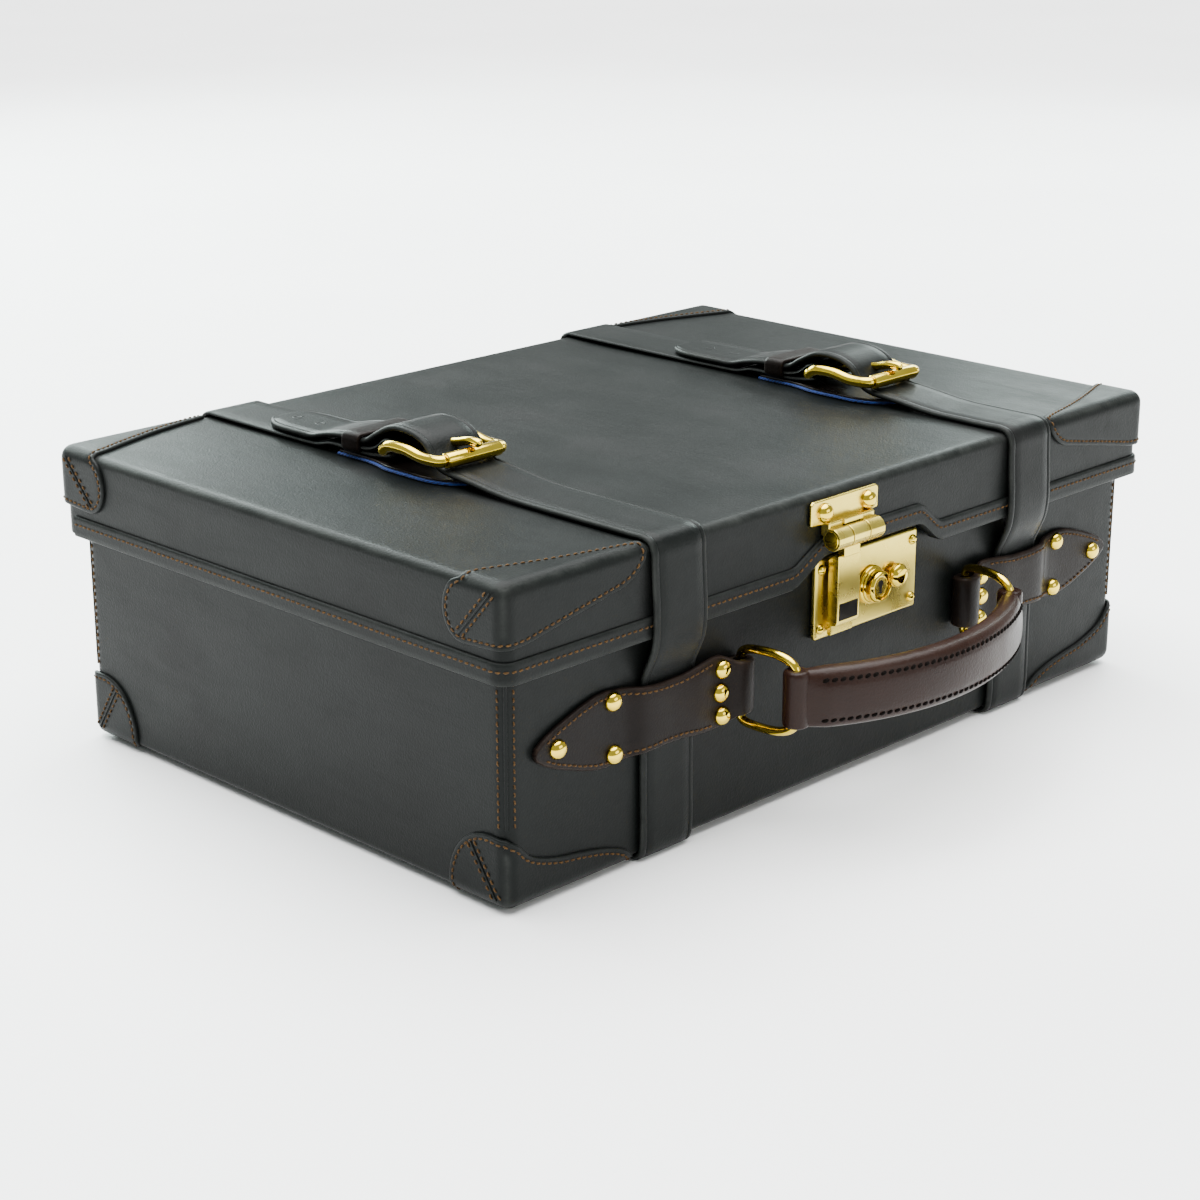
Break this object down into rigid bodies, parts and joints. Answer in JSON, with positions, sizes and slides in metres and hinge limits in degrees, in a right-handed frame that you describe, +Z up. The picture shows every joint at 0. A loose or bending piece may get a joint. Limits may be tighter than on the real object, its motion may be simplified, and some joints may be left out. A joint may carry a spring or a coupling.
{
  "type": "attache case",
  "caption": "Dark bridle leather attache case with an overhanging hinged lid, two buckled straps, a hasp lock, stitched corner caps and a padded front handle on swinging rings.",
  "frame": {"origin": "centre of the bounding box in X and Y, on the surface the case lies on", "axes": "+X along the length, to the right as seen from the front; +Y from the handle and lock towards the hinges; +Z up, from the base to the lid"},
  "size_m": [0.4726, 0.3856, 0.1752],
  "materials": {
    "bridle_leather": "waxed, smooth, soft sheen",
    "trim_leather": "waxed, browner, burnished edges",
    "lining": "matte woven lining",
    "felt": "blue felt under dark leather",
    "polished_brass": "polished",
    "satin_brass": "satin, lacquered",
    "spring_steel": "plain, unpolished"
  },
  "bodies": {
    "base": {"base_shell": "bridle_leather", "base_lining": "lining", "base_cap_front_left": "bridle_leather", "base_cap_front_right": "bridle_leather", "base_cap_back_left": "bridle_leather", "base_cap_back_right": "bridle_leather", "lower_strap_left": "bridle_leather", "lower_strap_right": "bridle_leather", "handle_tab_left": "trim_leather", "handle_tab_right": "trim_leather", "lock_plate": "satin_brass", "lock_case": "spring_steel", "key_collar": "polished_brass", "hinge_base_leaf_1": "satin_brass", "hinge_base_leaf_2": "satin_brass", "hinge_base_leaf_3": "satin_brass", "hinge_pin_1": "spring_steel", "hinge_pin_2": "spring_steel", "hinge_pin_3": "spring_steel"},
    "lid": {"lid_shell": "bridle_leather", "lid_lining": "lining", "lid_edge_band": "bridle_leather", "lid_cap_front_left": "bridle_leather", "lid_cap_front_right": "bridle_leather", "lid_cap_back_left": "bridle_leather", "lid_cap_back_right": "bridle_leather", "billet_left": "bridle_leather", "billet_right": "bridle_leather", "buckle_strap_left": "bridle_leather", "buckle_strap_right": "bridle_leather", "keeper_left": "trim_leather", "keeper_right": "trim_leather", "buckle_pad_left": "felt", "buckle_pad_right": "felt", "hasp_plate": "satin_brass", "hasp_pin": "polished_brass", "hinge_lid_leaf_1": "satin_brass", "hinge_lid_leaf_2": "satin_brass", "hinge_lid_leaf_3": "satin_brass"},
    "hasp": {"hasp_leaf": "satin_brass"},
    "key_cylinder": {"key_cylinder": "satin_brass"},
    "lock_button": {"lock_button": "polished_brass"},
    "lock_bolt": {"lock_bolt": "spring_steel"},
    "ring_left": {"d_ring_left": "polished_brass"},
    "ring_right": {"d_ring_right": "polished_brass"},
    "handle": {"handle_grip": "trim_leather"},
    "buckle_left": {"buckle_frame_left": "polished_brass"},
    "prong_left": {"buckle_prong_left": "polished_brass"},
    "roller_left": {"buckle_roller_left": "polished_brass"},
    "buckle_right": {"buckle_frame_right": "polished_brass"},
    "prong_right": {"buckle_prong_right": "polished_brass"},
    "roller_right": {"buckle_roller_right": "polished_brass"}
  },
  "joints": [
    {"name": "lid_hinge", "type": "hinge", "parent": "base", "child": "lid", "pos_m": [0, 0.18975, 0.109], "axis": [-1, 0, 0], "range_deg": [0, 95]},
    {"name": "hasp_swing", "type": "hinge", "parent": "lid", "child": "hasp", "pos_m": [-0.0154, -0.13935, 0.1305], "axis": [-1, 0, 0], "range_deg": [0, 100]},
    {"name": "key_turn", "type": "hinge", "parent": "base", "child": "key_cylinder", "pos_m": [0.0105, -0.12925, 0.097], "axis": [0, 1, 0], "range_deg": [0, 90]},
    {"name": "button_push", "type": "slide", "parent": "base", "child": "lock_button", "axis": [0, 1, 0], "range_m": [0, 0.003], "stiffness_N_per_m": 400, "springref_m": -0.001},
    {"name": "bolt_slide", "type": "slide", "parent": "base", "child": "lock_bolt", "axis": [1, 0, 0], "range_m": [0, 0.003]},
    {"name": "ring_left_swing", "type": "hinge", "parent": "base", "child": "ring_left", "pos_m": [-0.085, -0.13095, 0.0713], "axis": [0, 0, 1], "range_deg": [-15, 15]},
    {"name": "handle_swing", "type": "hinge", "parent": "ring_left", "child": "handle", "pos_m": [-0.081, -0.16149, 0.0713], "axis": [0, 0, 1], "range_deg": [-16, 16]},
    {"name": "ring_right_swing", "type": "hinge", "parent": "base", "child": "ring_right", "pos_m": [0.085, -0.13095, 0.0713], "axis": [0, 0, 1], "range_deg": [-15.5, 15.5]},
    {"name": "buckle_left_tilt", "type": "hinge", "parent": "lid", "child": "buckle_left", "pos_m": [-0.1305, 0.04025, 0.1625], "axis": [-1, 0, 0], "range_deg": [0, 2]},
    {"name": "prong_left_lift", "type": "hinge", "parent": "buckle_left", "child": "prong_left", "pos_m": [-0.1305, 0.04025, 0.1625], "axis": [-1, 0, 0], "range_deg": [0, 3]},
    {"name": "roller_left_spin", "type": "hinge", "parent": "buckle_left", "child": "roller_left", "pos_m": [-0.1305, -0.00075, 0.1645], "axis": [1, 0, 0], "continuous": true},
    {"name": "buckle_right_tilt", "type": "hinge", "parent": "lid", "child": "buckle_right", "pos_m": [0.1305, -0.00375, 0.1625], "axis": [-1, 0, 0], "range_deg": [0, 2]},
    {"name": "prong_right_lift", "type": "hinge", "parent": "buckle_right", "child": "prong_right", "pos_m": [0.1305, -0.00375, 0.1625], "axis": [-1, 0, 0], "range_deg": [0, 3]},
    {"name": "roller_right_spin", "type": "hinge", "parent": "buckle_right", "child": "roller_right", "pos_m": [0.1305, -0.04475, 0.1645], "axis": [1, 0, 0], "continuous": true}
  ],
  "couplings": [
    {"joint": "bolt_slide", "follows": "button_push", "ratio": 1},
    {"joint": "handle_swing", "follows": "ring_left_swing", "ratio": -1.0494},
    {"joint": "ring_right_swing", "follows": "ring_left_swing", "ratio": 1}
  ]
}
